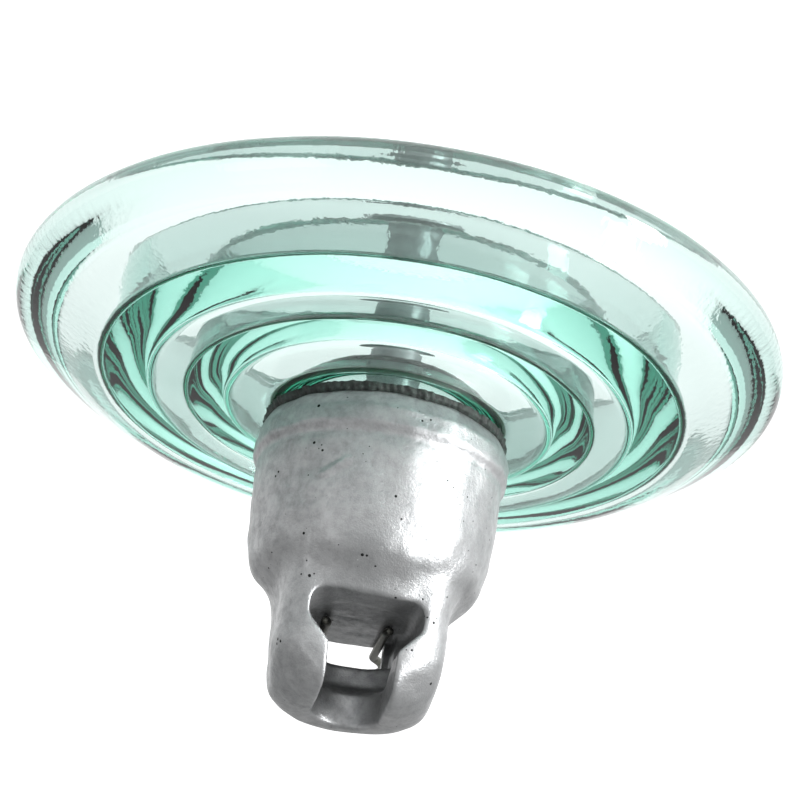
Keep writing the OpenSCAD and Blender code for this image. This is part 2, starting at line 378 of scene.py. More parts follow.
# ---------------------------------------------------------------------------------------------------
# Outlines and meshes
# ---------------------------------------------------------------------------------------------------
def rounded(path: Sequence[Corner], steps: int = 8, closed: bool = False) -> Array:
    """Rounds a path's corners with arcs tangent to both neighbouring legs.

    An arc of radius R in a corner of half angle h starts R / tan(h) away from the corner, and its centre
    lies R / sin(h) away along the bisector. A radius that doesn't fit is cut to half the shorter leg.

    Args:
        path: radius from the axis, height and corner radius of each corner.
        steps: straight legs in each arc.
        closed: whether the last corner joins the first.

    Returns:
        The outline's points, one row each.
    """
    spots = [np.array(corner[:2], float) for corner in path]
    count = len(path)
    out: list[Array] = []
    for i, (spot, corner) in enumerate(zip(spots, path)):
        if corner[2] <= 0 or (not closed and i in (0, count - 1)):
            out.append(spot[None])
            continue
        before, after = spots[i - 1] - spot, spots[(i + 1) % count] - spot
        long_before, long_after = np.linalg.norm(before), np.linalg.norm(after)
        before, after = before / long_before, after / long_after
        half = math.acos(float(np.clip(before @ after, -1, 1))) / 2
        if half > math.pi / 2 - 1e-3:
            out.append(spot[None])
            continue
        reach = min(corner[2] / math.tan(half), 0.49 * long_before, 0.49 * long_after)
        radius = reach * math.tan(half)
        middle = spot + (before + after) / np.linalg.norm(before + after) * radius / math.sin(half)
        start, end = spot + before * reach - middle, spot + after * reach - middle
        first, last = math.atan2(start[1], start[0]), math.atan2(end[1], end[0])
        sweep = (last - first + math.pi) % (2 * math.pi) - math.pi
        turn = first + sweep * np.linspace(0, 1, steps + 1)
        out.append(middle + radius * np.stack([np.cos(turn), np.sin(turn)], 1))
    return np.concatenate(out)


def divided(points: Array, longest: float, closed: bool = False) -> Array:
    """Splits each leg of an outline evenly, so that none is longer than a given length.

    Args:
        points: the outline's points.
        longest: the greatest length of a leg.
        closed: whether the last point joins the first.

    Returns:
        The outline with the added points.
    """
    ends = np.roll(points, -1, 0) if closed else points[1:]
    starts = points if closed else points[:-1]
    pieces = [start + (end - start) * np.arange(n)[:, None] / n
              for start, end, n in zip(starts, ends, np.maximum(
                  1, np.ceil(np.linalg.norm(ends - starts, axis=1) / longest)).astype(int))]
    return np.concatenate(pieces + ([] if closed else [points[-1:]]))


def put_mesh(name: str, points: Array, faces: list) -> bpy.types.Object:
    """Makes a smooth-shaded object from points in millimetres and lists of faces."""
    mesh = bpy.data.meshes.new(name)
    mesh.from_pydata((points * MM).tolist(), [], faces)
    mesh.validate()
    mesh.polygons.foreach_set("use_smooth", np.ones(len(mesh.polygons), bool))
    made = bpy.data.objects.new(name, mesh)
    bpy.context.scene.collection.objects.link(made)
    return made


def finished(piece: bpy.types.Object, finish: Finish, slot: str, body: str, *nodes: str) -> bpy.types.Object:
    """Dresses a piece, ties it to its body and lets it stand for its CAD nodes.

    Args:
        piece: the new object.
        finish: what its surface is.
        slot: not used.
        body: the CAD body that it rides on.
        *nodes: the CAD nodes that it replaces.

    Returns:
        The same object.
    """
    piece.data.materials.append(finish.material())
    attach(piece, body)
    if nodes:
        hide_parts(*nodes)
    LOG.info("%s: %d faces, %s", piece.name, len(piece.data.polygons), finish.name.lower())
    return piece


def grid_faces(rows: int, columns: int, wrap_columns: bool) -> Array:
    """Quads of a grid that closes round its rows, and across its columns if asked."""
    row = np.arange(rows)[:, None]
    column = np.arange(columns if wrap_columns else columns - 1)[None]
    next_row, next_column = (row + 1) % rows, (column + 1) % columns
    return np.stack([row * columns + column, row * columns + next_column,
                     next_row * columns + next_column, next_row * columns + column], 2).reshape(-1, 4)


Relief = Callable[[Array, Array, Array], Array]


def turned(name: str, outline: Array, around: int, relief: Optional[Relief] = None,
           closed: bool = False) -> bpy.types.Object:
    """Carries an outline round the string axis.

    The point at angle a and outline place s is (R cos a, R sin a, Z), where (R, Z) is the outline's
    point moved along its outward normal by the relief at (a, s). An outline that isn't closed starts and
    ends on the axis, and each end is one pole.

    Args:
        name: the piece's name.
        outline: radius and height, running outwards along the top and back along the bottom.
        around: steps round the axis.
        relief: height of the relief from angle, radius and height; each argument is a grid.
        closed: whether the outline is a ring's own section.

    Returns:
        The new object.
    """
    along = (np.roll(outline, -1, 0) - np.roll(outline, 1, 0)) if closed else np.gradient(outline, axis=0)
    along /= np.linalg.norm(along, axis=1)[:, None]
    outward = np.stack([-along[:, 1], along[:, 0]], 1)
    angle = np.arange(around)[:, None] * 2 * np.pi / around
    radius, height = outline[None, :, 0], outline[None, :, 1]
    lift = relief(angle, radius, height) if relief else np.zeros((around, len(outline)))
    radius, height = radius + lift * outward[None, :, 0], height + lift * outward[None, :, 1]
    grid = np.stack([radius * np.cos(angle), radius * np.sin(angle), height], 2)
    if closed:
        return put_mesh(name, grid.reshape(-1, 3), grid_faces(around, len(outline), True).tolist())
    body = grid[:, 1:-1]
    columns = body.shape[1]
    poles = np.array([[0, 0, height[:, 0].mean()], [0, 0, height[:, -1].mean()]])
    first = np.arange(around) * columns
    after = np.roll(first, -1)
    top = around * columns
    lids = [[top, a, b] for a, b in zip(first.tolist(), after.tolist())]
    lids += [[top + 1, b + columns - 1, a + columns - 1] for a, b in zip(first.tolist(), after.tolist())]
    return put_mesh(name, np.concatenate([body.reshape(-1, 3), poles]),
                    grid_faces(around, columns, False).tolist() + lids)


def swell(seed: int, angular: Sequence[int], pitch: float, size: float) -> Relief:
    """A gentle unevenness that closes round the axis: a sum of waves with seeded phases.

    Each wave is cos(n a + q (r + z) + phase), where n is a whole number of waves round the axis and q is
    drawn up to one wave in the pitch.

    Args:
        seed: seed of the phases.
        angular: the wave counts round the axis.
        pitch: shortest wavelength along the outline.
        size: height of the sum's usual peak.

    Returns:
        The relief function.
    """
    draw = np.random.default_rng(seed)
    waves = [(n, draw.uniform(0.2, 1) * 2 * np.pi / pitch, draw.uniform(0.2, 1) * 2 * np.pi / pitch,
              draw.uniform(0, 2 * np.pi)) for n in angular]

    def relief(angle: Array, radius: Array, height: Array) -> Array:
        """Height of the waves at each point."""
        total = sum(np.cos(n * angle + qr * radius + qz * height + phase) for n, qr, qz, phase in waves)
        return total * size / math.sqrt(len(waves))

    return relief


# ---------------------------------------------------------------------------------------------------
# The heights that every piece shares, read from the frame
# ---------------------------------------------------------------------------------------------------
@dataclass(frozen=True)
class Datum:
    """Heights and radii read off the CAD nodes' boxes, in millimetres."""

    rim_r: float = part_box("glass_shell")[1][0] / MM
    head_top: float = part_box("glass_shell")[1][2] / MM
    mouth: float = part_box("cap")[0][2] / MM
    crown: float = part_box("cap")[1][2] / MM
    pin_top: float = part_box("pin")[1][2] / MM
    ball_low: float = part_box("pin")[0][2] / MM
    ball_r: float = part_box("pin")[1][0] / MM
    cement_face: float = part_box("pin_cement")[0][2] / MM
    cement_roof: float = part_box("pin_cement")[1][2] / MM
    wire_z: float = (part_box("locking_clip")[0][2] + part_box("locking_clip")[1][2]) / 2 / MM
    clip_back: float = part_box("locking_clip")[1][1] / MM

    @property
    def rim(self) -> float:
        """Height of the rim's middle, a fixed step under the top of the glass head."""
        return self.head_top - HEAD_RISE


DATUM = Datum()


# ---------------------------------------------------------------------------------------------------
# Glass
# ---------------------------------------------------------------------------------------------------
@dataclass(frozen=True)
class Rib:
    """One hanging rib of the disc, with drafted sides."""

    root_r: float
    width: float
    root: float
    edge: float
    draft: float = 2.0

    def path(self) -> list[Corner]:
        """The rib's outline, from its outer root to its inner root."""
        round_edge = self.width / 3
        return [(self.root_r, self.root, 2.5),
                (self.root_r - self.draft, self.edge, round_edge),
                (self.root_r - self.width + self.draft, self.edge, round_edge),
                (self.root_r - self.width, self.root + 1, 3)]


@dataclass
class GlassDisc:
    """The pressed glass: a hollow head for the cap and pin, and a disc with ribs underneath."""

    bead_r: float = 8.0
    crown_rise: float = 28.0
    neck_rise: float = 28.5
    neck_fillet: float = 6.0
    brow: tuple[float, float] = (98.0, 22.5)
    head_r: float = 31.0
    waist_r: float = 29.0
    pin_hole_r: float = 18.0
    ribs: tuple[Rib, ...] = field(default_factory=lambda: (
        Rib(93.0, 13.5, 13.5, -19.0), Rib(65.5, 11.5, 15.0, -13.0)))

    def head(self) -> list[Corner]:
        """Outer face of the head, from its top down to its waist."""
        top = DATUM.head_top
        return [(0, top, 0), (self.head_r - 9, top, 5), (self.head_r, top - 9, 7),
                (self.waist_r, DATUM.rim + 42, 8)]

    def upper_face(self) -> list[Corner]:
        """Upper face of the disc, round the rim's bead and into the underside."""
        rim, centre = DATUM.rim, np.array([DATUM.rim_r - self.bead_r, 0.0])
        to_bead = centre - np.array(self.brow)
        lean = math.atan2(to_bead[1], to_bead[0]) + math.asin(self.bead_r / np.linalg.norm(to_bead))
        turn = np.linspace(lean + math.pi / 2, math.radians(-115), 26)
        bead = [(centre[0] + self.bead_r * math.cos(t), rim + self.bead_r * math.sin(t), 0.0) for t in turn]
        return [(self.waist_r, rim + self.neck_rise, self.neck_fillet), (60, rim + self.crown_rise - 1, 60),
                (self.brow[0], rim + self.brow[1], 40), *bead, (DATUM.rim_r - 18, rim + 5, 10)]

    def underside(self) -> list[Corner]:
        """Underside of the disc from the outer rib to the collar round the pin."""
        rim = DATUM.rim
        path = [(r, z + rim, c) for rib in self.ribs for r, z, c in rib.path()]
        return path + [(36, rim + self.crown_rise - 11, 8), (30, rim + 6, 4),
                       (self.pin_hole_r + 3, rim + 6, 3)]

    def pin_hole(self) -> list[Corner]:
        """Inside of the pin hole, from its mouth to its roof."""
        rim, roof, r = DATUM.rim, DATUM.cement_roof, self.pin_hole_r
        return [(r, DATUM.cement_face - 8, 2), (r - 0.5, rim + 32, 6), (r + 2, roof - 8, 6),
                (r - 4, roof, 4), (0, roof, 0)]

    def build(self) -> None:
        """Makes the glass."""
        path = self.head() + self.upper_face() + self.underside() + self.pin_hole()
        outline = divided(rounded(path, 9), 3.0)
        wave = swell(11, (2, 3, 5, 7, 11, 16), 45.0, 0.05)

        def relief(angle: Array, radius: Array, height: Array) -> Array:
            """Press ripple on the disc, none inside the head."""
            return wave(angle, radius, height) * np.clip((radius - 40) / 15, 0, 1)

        shell = turned("glass_disc", outline, 336, relief)
        finished(shell, Finish.GLASS, "shell_glass", ROOT, "glass_shell")


# ---------------------------------------------------------------------------------------------------
# Pin, cement, cushions and seals
# ---------------------------------------------------------------------------------------------------
@dataclass
class PinAndPacking:
    """The forged pin and what holds it in the glass."""

    shank_r: float = 8.5
    band: float = 5.0
    head_r: float = 13.5
    embed: float = 0.06

    def pin(self) -> None:
        """Forged pin: ringed head, shank and ball."""
        face, top, low = DATUM.cement_face, DATUM.pin_top, DATUM.ball_low
        s = self.shank_r
        path = [(0, top, 0), (self.head_r - 2.5, top, 1), (self.head_r, top - 2.5, 1.5),
                (s + 1.5, face + 31, 1.5), (s + 4, face + 29, 2), (s + 0.5, face + 19, 1.5),
                (s + 2.5, face + 17, 2), (s, face + 6, 6), (s, -low + 4, 4), (s + 2.5, -low - 0.5, 4),
                (DATUM.ball_r, self.band / 2, 1.2), (DATUM.ball_r, -self.band / 2, 1.4), (10, low, 12),
                (0, low, 0)]
        skin = swell(5, (1, 3, 4, 7, 9), 14.0, 0.05)
        piece = turned("forged_pin", divided(rounded(path, 8), 1.6), 160, skin)
        finished(piece, Finish.FORGED_STEEL, "pin_steel", ROOT, "pin")

    def cement(self, glass: GlassDisc) -> None:
        """The cement filling in the pin hole, let a hair into the glass, because it wets it."""
        face, hair = DATUM.cement_face, self.embed
        hole = [(r + hair if r else 0.0, z + (hair if i > 1 else 0), c)
                for i, (r, z, c) in enumerate(glass.pin_hole())][1:]
        path = [(0, hole[-1][1], 0)] + hole[-2::-1] + [(glass.pin_hole_r + hair, face, 0.6),
                                                       (self.shank_r - 0.3, face - 0.1, 0),
                                                       (self.shank_r - 0.3, face + 1, 0), (0, face + 1, 0)]
        lumps = swell(23, (3, 8, 13, 21), 5.0, 0.06)

        def relief(angle: Array, radius: Array, height: Array) -> Array:
            """Trowel marks on the open face only."""
            return lumps(angle, radius, height) * (np.abs(height - face) < 0.5)

        piece = turned("pin_cement_filling", divided(rounded(path, 6), 2.0), 192, relief)
        finished(piece, Finish.CEMENT, "cement", ROOT, "pin_cement")

    def cushions(self) -> None:
        """Cork discs on the glass head and on the pin's head, with soft edges."""
        for node, name in (("head_cushion", "head_cork"), ("pin_cushion", "pin_cork")):
            low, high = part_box(node)
            r, bottom, top = high[0] / MM, low[2] / MM + 0.02, high[2] / MM - 0.02
            path = [(0, top, 0), (r, top, 0.5), (r, bottom, 0.5), (0, bottom, 0)]
            piece = turned(name, divided(rounded(path, 5), 2.0), 96, swell(7, (2, 5, 9), 6.0, 0.02))
            finished(piece, Finish.CORK, "cork", ROOT, node)

    def seal(self) -> None:
        """Bitumen brushed over the lower cement face, thicker round the shank."""
        low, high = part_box("pin_seal")
        bottom, top, outer = low[2] / MM, high[2] / MM - 0.15, high[0] / MM
        inner = self.shank_r - 0.2
        path = [(inner, top, 0), (outer, top, 0.4), (outer - 0.4, bottom + 1.4, 1.2),
                (inner + 3.5, bottom + 1.0, 4), (inner, bottom - 0.2, 0.2)]
        ring = turned("pin_bitumen", divided(rounded(path, 5, True), 0.8, True), 160,
                      swell(31, (3, 5, 11, 17, 29), 4.0, 0.12), True)
        finished(ring, Finish.BITUMEN, "bitumen", ROOT, "pin_seal")


# ---------------------------------------------------------------------------------------------------
# Cast cap
# ---------------------------------------------------------------------------------------------------
def blend_union(a: Array, b: Array, k: float) -> Array:
    """Union of two distance fields with a fillet: min(a, b) less h squared k / 4, h = (k - |a - b|) / k."""
    h = np.maximum(k - np.abs(a - b), 0) / k
    return np.minimum(a, b) - h * h * k / 4


def blend_cut(a: Array, b: Array, k: float) -> Array:
    """Field a with field b cut out of it, and the new edge rounded over about k."""
    return -blend_union(-a, b, k)


def blend_common(a: Array, b: Array, k: float) -> Array:
    """What is common to two fields, with the edge between them rounded over about k."""
    return -blend_union(-a, -b, k)


def outline_distance(points: Array, x: Array, y: Array) -> Array:
    """Signed distance to a closed outline, negative inside.

    For each leg, the nearest point is the start plus the leg times clip(dot(p, leg) / dot(leg, leg)).
    The sign comes from how often a ray crosses the outline.

    Args:
        points: the outline's points.
        x: first coordinate of each query point.
        y: second coordinate of each query point.

    Returns:
        The distance at each query point.
    """
    best = np.full(x.shape, np.inf)
    inside = np.zeros(x.shape, bool)
    for (x0, y0), (x1, y1) in zip(points, np.roll(points, -1, 0)):
        leg_x, leg_y = x1 - x0, y1 - y0
        part = np.clip(((x - x0) * leg_x + (y - y0) * leg_y) / max(leg_x ** 2 + leg_y ** 2, 1e-12), 0, 1)
        best = np.minimum(best, (x - x0 - part * leg_x) ** 2 + (y - y0 - part * leg_y) ** 2)
        if y0 != y1:
            crossing = (y0 > y) != (y1 > y)
            inside ^= crossing & (x < leg_x * (y - y0) / leg_y + x0)
    return np.where(inside, -1, 1) * np.sqrt(best)


@dataclass
class CastCap:
    """The cap: a thin-walled cup over the glass head, with a ball socket on top.

    It is described by a distance field on a regular grid. Its parts are joined with fillets, as a casting
    pattern is, and the field is shaken a little for the sand-cast skin.
    """

    voxel: float = 0.8
    bead_r: float = 41.8
    body_r: float = 40.2
    shoulder_r: float = 38.0
    chamber_r: float = 34.8
    head_half_w: float = 26.0
    head_half_d: float = 25.5
    head_corner: float = 7.5
    entry_half_w: float = 17.3
    slot_half_w: float = 10.4
    entry_floor: float = 92.0
    entry_neck: float = 108.0
    seat_r: float = 17.4
    hole_half_w: float = 11.5
    hole_h: float = 10.5
    hole_sill: float = 91.9
    hole_flare: float = 2.4
    flare_from: float = 18.2
    flare_run: float = 2.6
    way_flare: float = 2.2
    way_rise: float = 2.1
    way_half_h: float = 1.9
    bar_at: tuple[float, float] = (17.5, 57.0)
    bar_half: float = 4.0
    bar_r: float = 0.9
    bar_proud: float = 0.55
    spacing: float = 146.0

    def axes(self) -> tuple[Array, Array, Array]:
        """The grid's coordinates along X, Y and Z, in millimetres."""
        reach = self.bead_r + 3 * self.voxel
        side = np.arange(-reach, reach + self.voxel, self.voxel)
        return side, side, np.arange(DATUM.mouth - 3 * self.voxel, DATUM.crown + 3 * self.voxel, self.voxel)

    def turned_field(self, path: Sequence[Corner], radius: Array, height: Array) -> Array:
        """Distance to a turned solid whose half section is a path from the axis and back to it.

        Args:
            path: the half section's corners, clockwise from the axis.
            radius: distance of each grid column from the axis.
            height: height of each grid layer.

        Returns:
            The field on the grid.
        """
        outline = rounded(path, 8)
        whole = np.concatenate([outline, outline[::-1] * (-1, 1)])
        step = 0.4
        table_r = np.arange(0, radius.max() + 2 * step, step)
        table = outline_distance(whole, *np.meshgrid(table_r, height.ravel(), indexing="ij"))
        place = radius / step
        low = np.floor(place).astype(int)
        part = (place - low)[..., None]
        return table[low] * (1 - part) + table[low + 1] * part

    def outside(self, x: Array, y: Array, z: Array, radius: Array) -> Array:
        """Field of the cap's outside, solid all through."""
        rim, crown = DATUM.rim, DATUM.crown
        body = self.turned_field([
            (0, crown - 24, 0), (self.head_half_d - 6, crown - 24, 2), (self.head_half_d - 1, rim + 92, 8),
            (self.shoulder_r - 1.5, rim + 80, 11), (self.shoulder_r + 0.7, rim + 70, 9),
            (self.body_r, rim + 47, 4), (self.body_r, rim + 44.5, 2), (self.bead_r, rim + 42, 2),
            (self.bead_r, rim + 36, 3), (self.bead_r - 2.6, DATUM.mouth, 1.5), (0, DATUM.mouth, 0)],
            radius, z)
        corner = self.head_corner
        qx = np.abs(x) - (self.head_half_w - corner)
        qy = np.abs(y) - (self.head_half_d - corner)
        block = np.hypot(np.maximum(qx, 0), np.maximum(qy, 0)) + np.minimum(np.maximum(qx, qy), 0) - corner
        block = np.maximum(block, rim + 74 - z)
        dome = self.turned_field([
            (0, crown, 0), (22, crown, 13), (30.5, crown - 14, 16), (32, crown - 30, 10), (38, rim + 76, 4),
            (0, rim + 70, 0)], radius, z)
        return blend_union(body, blend_common(block, dome, 3.0), 5.0)

    def chamber(self, radius: Array, z: Array) -> Array:
        """Field of the chamber that the glass head is cemented into."""
        rim, c = DATUM.rim, self.chamber_r
        return self.turned_field([
            (0, rim + 82.5, 0), (20, rim + 82.5, 6), (c, rim + 68.5, 5), (c + 1, rim + 55, 2),
            (c - 0.5, rim + 52, 2), (c + 2, rim + 44, 2), (c + 2, rim + 39, 2), (c + 0.5, rim + 35, 1.5),
            (c + 1, DATUM.mouth - 4, 0), (0, DATUM.mouth - 4, 0)], radius, z)

    def socket(self, x: Array, y: Array, z: Array, radius: Array) -> Array:
        """Field of the ball entry, pocket, shank slot and clip hole together."""
        rim = DATUM.rim
        low, neck, half = rim + self.entry_floor, rim + self.entry_neck, self.entry_half_w
        slot = self.slot_half_w
        front = rounded([(-half, low, 4.5), (half, low, 4.5), (half, neck - 7.5, 5), (slot, neck, 2),
                         (slot, neck + 40, 0), (-slot, neck + 40, 0), (-slot, neck, 2),
                         (-half, neck - 7.5, 5)], 6, True)
        profile = outline_distance(front, *np.broadcast_arrays(x[:, 0], z[0]))
        entry = np.maximum(profile[:, None, :], y)
        slot_back = np.maximum(radius[..., None] - slot, low + 4 - z)
        pocket = self.turned_field([
            (0, self.spacing + 7.1, 0), (slot - 0.6, self.spacing + 7.1, 0),
            (self.seat_r, self.spacing + 2.8, 2), (self.seat_r, low, 3), (0, low, 0)], radius, z)
        tall = np.abs(z - rim - self.hole_sill - self.hole_h / 2) - self.hole_h / 2
        hole = np.maximum(np.maximum(np.abs(x) - self.hole_width(y, self.hole_flare), tall), 4.0 - y)
        opening = blend_union(blend_union(entry, slot_back, 0.6), pocket, 1.0)
        return blend_union(opening, hole, 0.8)

    def hole_width(self, y: Array, flare: float) -> Array:
        """Half width of the clip hole at each depth, flared behind the wall for the clip's tips."""
        return self.hole_half_w + np.clip((self.flare_from - y) / self.flare_run, 0, 1) * flare

    def skin(self, shape: tuple[int, ...]) -> Array:
        """Sand-cast unevenness: seeded white noise smoothed at two sizes by a Gaussian filter.

        Args:
            shape: the grid's shape.

        Returns:
            The noise, in millimetres.
        """
        draw = np.random.default_rng(41)
        spectrum = np.fft.rfftn(draw.standard_normal(shape))
        wave = np.meshgrid(*(np.fft.fftfreq(n, self.voxel) for n in shape[:2]),
                           np.fft.rfftfreq(shape[2], self.voxel), indexing="ij", sparse=True)
        square = sum(w ** 2 for w in wave)
        total = np.zeros(shape)
        for blur, size in ((6.0, 0.2), (2.2, 0.085)):
            layer = np.fft.irfftn(spectrum * np.exp(-2 * (math.pi * blur) ** 2 * square), shape)
            total += layer * size / layer.std()
        return total

    def clip_way(self, x: Array, y: Array, z: Array) -> Array:
        """Field of the way that the clip's wire slides along, dressed clean of casting lumps."""
        tall = np.abs(z - DATUM.rim - self.hole_sill - self.way_rise) - self.way_half_h
        return np.maximum(np.maximum(np.abs(x) - self.hole_width(y, self.way_flare), tall), -4.0 - y)

    def marks(self, x: Array, y: Array, z: Array) -> Array:
        """Field of a plain raised bar cast on the cap's wall, as a pattern-maker's tally."""
        right, up = x - self.bar_at[0], z - DATUM.rim - self.bar_at[1]
        along, across = right * 0.8 + up * 0.6, up * 0.8 - right * 0.6
        bar = np.hypot(np.maximum(np.abs(along) - self.bar_half, 0), across) - self.bar_r
        return np.maximum(bar, y + 30)

    def build(self) -> None:
        """Makes the cap: samples the field, meshes its zero surface and settles the points on it."""
        ax, ay, az = self.axes()
        x, y, z = ax[:, None, None], ay[None, :, None], az[None, None, :]
        radius = np.hypot(ax[:, None], ay[None, :])
        outer = self.outside(x, y, z, radius)
        casting = blend_cut(outer, self.socket(x, y, z, radius), 1.3)
        casting = np.maximum(casting + self.skin(casting.shape), -self.clip_way(x, y, z))
        raised = np.maximum(self.marks(x, y, z), outer - self.bar_proud)
        casting = np.maximum(blend_union(casting, raised, 0.8), DATUM.mouth - z)
        casting = blend_cut(casting, self.chamber(radius, z), 0.8)
        points, quads = self.surface(casting, np.array([ax[0], ay[0], az[0]]))
        piece = put_mesh("cast_cap", points, quads.tolist())
        finished(piece, Finish.CAST_IRON, "cap_iron", ROOT, "cap")

    def surface(self, values: Array, corner: Array) -> tuple[Array, Array]:
        """Meshes the field's zero surface, then moves each point down the gradient onto it.

        One move is p - f g / |g| squared, where f and g are the field and its gradient at p by trilinear
        interpolation. Two moves are enough.

        Args:
            values: the field on the grid.
            corner: place of the grid's first point.

        Returns:
            The points in millimetres, and the quads.
        """
        grid = openvdb.FloatGrid(background=3.0)
        grid.copyFromArray(np.ascontiguousarray(np.clip(values, -3, 3), dtype=np.float32))
        spots, quads = grid.convertToQuads(0.0)
        spots = np.asarray(spots, float)
        slopes = np.stack(np.gradient(values), -1)
        limit = np.array(values.shape) - 1.001
        for _ in range(2):
            low = np.floor(np.clip(spots, 0, limit)).astype(int)
            part = np.clip(spots, 0, limit) - low
            height, slope = np.zeros(len(spots)), np.zeros((len(spots), 3))
            for corner_bits in np.ndindex(2, 2, 2):
                bits = np.array(corner_bits)
                weight = np.prod(np.where(bits, part, 1 - part), 1)
                at = tuple((low + bits).T)
                height += weight * values[at]
                slope += weight[:, None] * slopes[at]
            move = height[:, None] * slope / np.maximum((slope ** 2).sum(1), 1e-9)[:, None]
            spots = spots - np.clip(move, -0.6, 0.6)
        return corner + spots * self.voxel, np.asarray(quads)


@dataclass
class CapPacking:
    """Cement and bitumen between the cap and the glass."""

    cap: CastCap
    glass: GlassDisc
    embed: float = 0.06

    def cement(self) -> None:
        """Cement from the cap's roof down to the seal, filling the ringed chamber."""
        rim, c, hair = DATUM.rim, self.cap.chamber_r - 0.1, self.embed
        foot = DATUM.mouth - 1.2
        g = self.glass
        neck = rim + g.neck_rise - hair
        path = [(0, rim + 82.4, 0), (20, rim + 82.4, 6), (c, rim + 68.4, 5), (c + 1, rim + 55, 2),
                (c - 0.5, rim + 52, 2), (c + 2, rim + 44, 2), (c + 2, rim + 39, 2), (c + 0.5, rim + 35, 1.5),
                (c + 0.8, foot, 0.3), (c + 0.6, neck - 0.31, 0),
                (g.waist_r - hair, neck, g.neck_fillet + hair), (g.waist_r - hair, rim + 42, 8),
                (g.head_r - hair, DATUM.head_top - 9, 7), (g.head_r - 9, DATUM.head_top - hair, 5),
                (0, DATUM.head_top - hair, 0)]
        piece = turned("cap_cement_filling", divided(rounded(path, 6), 2.5), 192)
        finished(piece, Finish.CEMENT, "cement", ROOT, "cap_cement")

    def seal(self) -> None:
        """Ragged bitumen squeezed out on the glass all round the cap's mouth."""
        rim, top = DATUM.rim, DATUM.mouth
        glass_z = rim + self.glass.crown_rise
        path = [(35.6, top + 0.5, 0.3), (38.2, top + 0.35, 0.4), (39.5, top - 0.7, 0.8),
                (39.9, glass_z + 0.35, 0.5), (40.2, glass_z - 0.25, 0.2), (35.6, glass_z - 0.05, 0.2)]
        coarse = swell(61, (5, 9, 14, 22, 31), 9.0, 0.28)
        fine = swell(62, (43, 58, 71, 97, 120), 3.0, 0.24)

        def relief(angle: Array, radius: Array, height: Array) -> Array:
            """Lumps that run out over the glass, and none under the cap."""
            lumps = coarse(angle, radius, height) + fine(angle, radius, height)
            return lumps * np.clip(radius - 37.6, 0, 1)

        ring = turned("mouth_bitumen", divided(rounded(path, 4, True), 0.5, True), 480, relief, True)
        finished(ring, Finish.BITUMEN, "bitumen", ROOT, "mouth_seal")


# ---------------------------------------------------------------------------------------------------
# Locking clip
# ---------------------------------------------------------------------------------------------------
@dataclass
class LockingClip:
    """Keyhole-shaped spring clip bent from one length of wire."""

    wire_r: float = 1.35
    eye_r: float = 14.16
    leg_x: float = 9.45
    tip: tuple[float, float] = (10.85, -0.8)
    bend_y: float = 1.8
    slant: float = math.acos(0.8)
    tip_rings: int = 7

    def route(self) -> Array:
        """The wire's centre line in plan, from one tip round the eye to the other."""
        eye_y = DATUM.clip_back - self.wire_r - self.eye_r
        turn = np.linspace(-self.slant, math.pi / 2, 25)
        eye = np.stack([self.eye_r * np.cos(turn), eye_y + self.eye_r * np.sin(turn)], 1)
        lean = np.array([math.sin(self.slant), math.cos(self.slant)])
        root = eye[0] - lean * (eye[0][0] - self.leg_x) / lean[0]
        leg = rounded([(*self.tip, 0.0), (self.leg_x, self.bend_y, 3.0), (root[0], root[1], 3.0),
                       (eye[0][0], eye[0][1], 0.0)], 6)
        half = np.concatenate([leg[:-1], eye])
        return divided(np.concatenate([half[:-1], (half * (-1, 1))[::-1]]), 1.2)

    def build(self) -> None:
        """Carries a circle along the route; at the tips its radius falls as a quarter circle."""
        route = self.route()
        along = np.gradient(route, axis=0)
        along /= np.linalg.norm(along, axis=1)[:, None]
        side = np.stack([-along[:, 1], along[:, 0]], 1)
        quarter = np.linspace(0.02, np.pi / 2, self.tip_rings)
        lead, reach = np.sin(quarter), self.wire_r * (1 - np.cos(quarter))
        start = route[0] + along[0] * reach[:, None]
        end = route[-1] - along[-1] * reach[::-1, None]
        keep = slice(2, -2)
        centre = np.concatenate([start, route[keep], end])
        across = np.concatenate([np.repeat(side[:1], self.tip_rings, 0), side[keep],
                                 np.repeat(side[-1:], self.tip_rings, 0)])
        size = self.wire_r * np.concatenate([lead, np.ones(len(route[keep])), lead[::-1]])
        turn = np.linspace(0, 2 * np.pi, 20, endpoint=False)
        ring_side = np.cos(turn)[None, :, None] * across[:, None, :] * size[:, None, None]
        plan = centre[:, None, :] + ring_side
        up = DATUM.wire_z + np.sin(turn)[None, :] * size[:, None]
        points = np.concatenate([plan, up[..., None]], 2)
        rows, columns = points.shape[:2]
        tube = grid_faces(rows, columns, True).reshape(rows, columns, 4)[:-1]
        faces = tube.reshape(-1, 4)[:, ::-1].tolist()
        last = (rows - 1) * columns
        faces += [list(range(columns)), [last + i for i in range(columns)][::-1]]
        piece = put_mesh("spring_clip", points.reshape(-1, 3), faces)
        finished(piece, Finish.WIRE, "clip_steel", CLIP, "locking_clip")


# ---------------------------------------------------------------------------------------------------
# Studio
# ---------------------------------------------------------------------------------------------------
@dataclass(frozen=True)
class Softbox:
    """A soft rectangular light that faces the insulator. Lengths are in metres."""

    name: str
    place: tuple[float, float, float]
    size: tuple[float, float]
    watts: float
    target_z: float = 0.08

    def build(self) -> None:
        """Adds the light to the scene."""
        lamp = bpy.data.lights.new(self.name, "AREA")
        lamp.shape, lamp.energy = "RECTANGLE", self.watts
        lamp.size, lamp.size_y = self.size
        made = bpy.data.objects.new(self.name, lamp)
        bpy.context.scene.collection.objects.link(made)
        back = np.array(self.place) - (0, 0, self.target_z)
        back /= np.linalg.norm(back)
        side = np.cross([0, 0, 1], back)
        side /= np.linalg.norm(side)
        axes = np.stack([side, np.cross(back, side), back, self.place], 1)
        made.matrix_world = Matrix([*axes.tolist(), [0, 0, 0, 1]])


